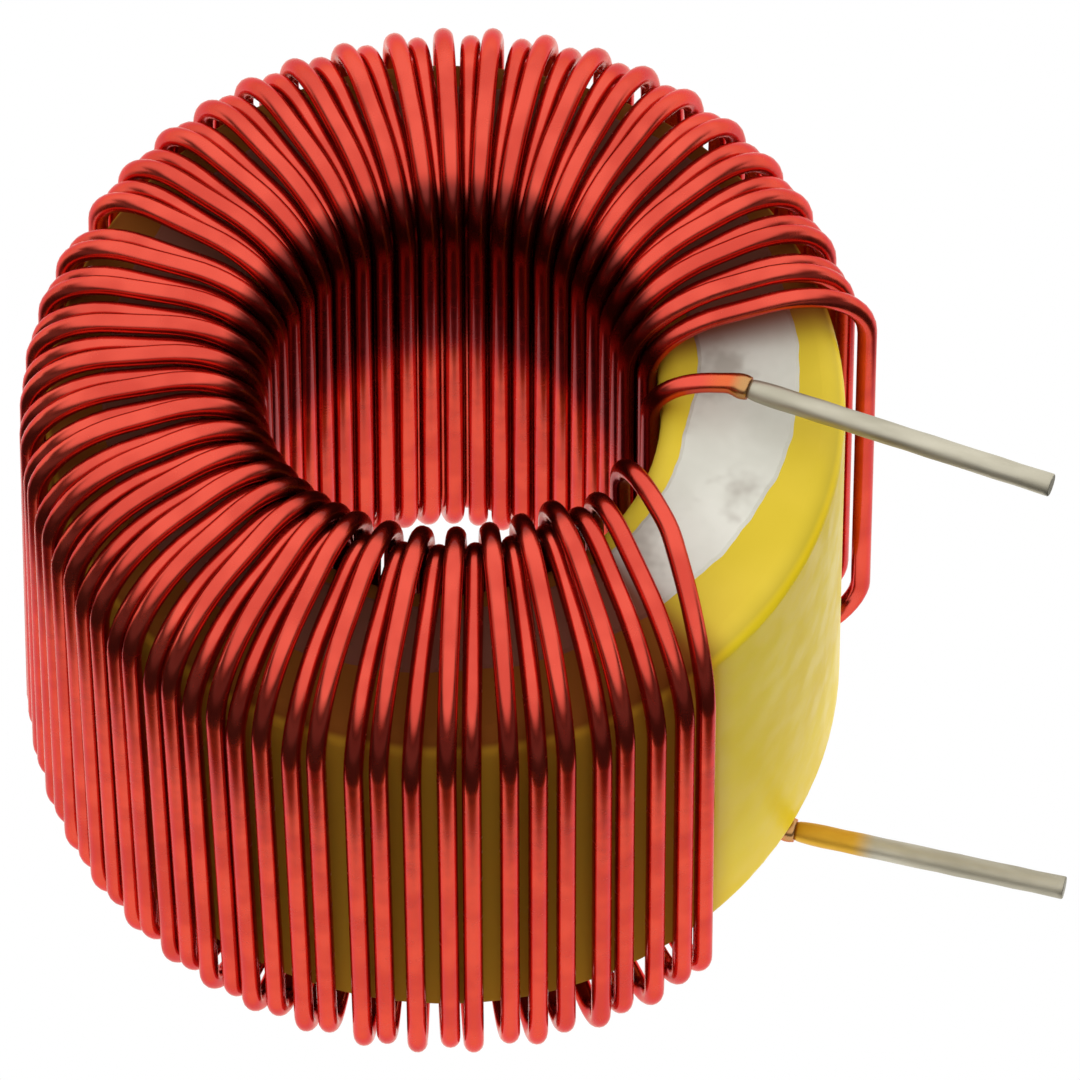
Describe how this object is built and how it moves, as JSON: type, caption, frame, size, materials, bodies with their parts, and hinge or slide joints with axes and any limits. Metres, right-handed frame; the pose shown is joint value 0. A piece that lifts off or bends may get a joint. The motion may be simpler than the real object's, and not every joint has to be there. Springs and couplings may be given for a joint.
{
  "type": "toroidal inductor",
  "caption": "Ring core with painted faces, closely wound with red enamelled wire whose two stiff tinned ends leave side by side on one side.",
  "frame": {"origin": "centre of the ring core, half way up its height", "axes": "+Z along the ring's axis towards the white end face, +X towards the side where both leads leave"},
  "size_m": [0.037, 0.0292, 0.0243],
  "materials": {
    "yellow_paint": "satin powder paint on pressed iron powder",
    "white_paint": "thin matt white paint",
    "red_enamel": "glossy transparent red enamel over copper wire",
    "tin": "dull, slightly uneven hot-dipped tin"
  },
  "bodies": {
    "root": {"core": "yellow_paint", "white_end_face": "white_paint", "winding": "red_enamel", "upper_lead": "tin", "lower_lead": "tin"}
  },
  "joints": []
}
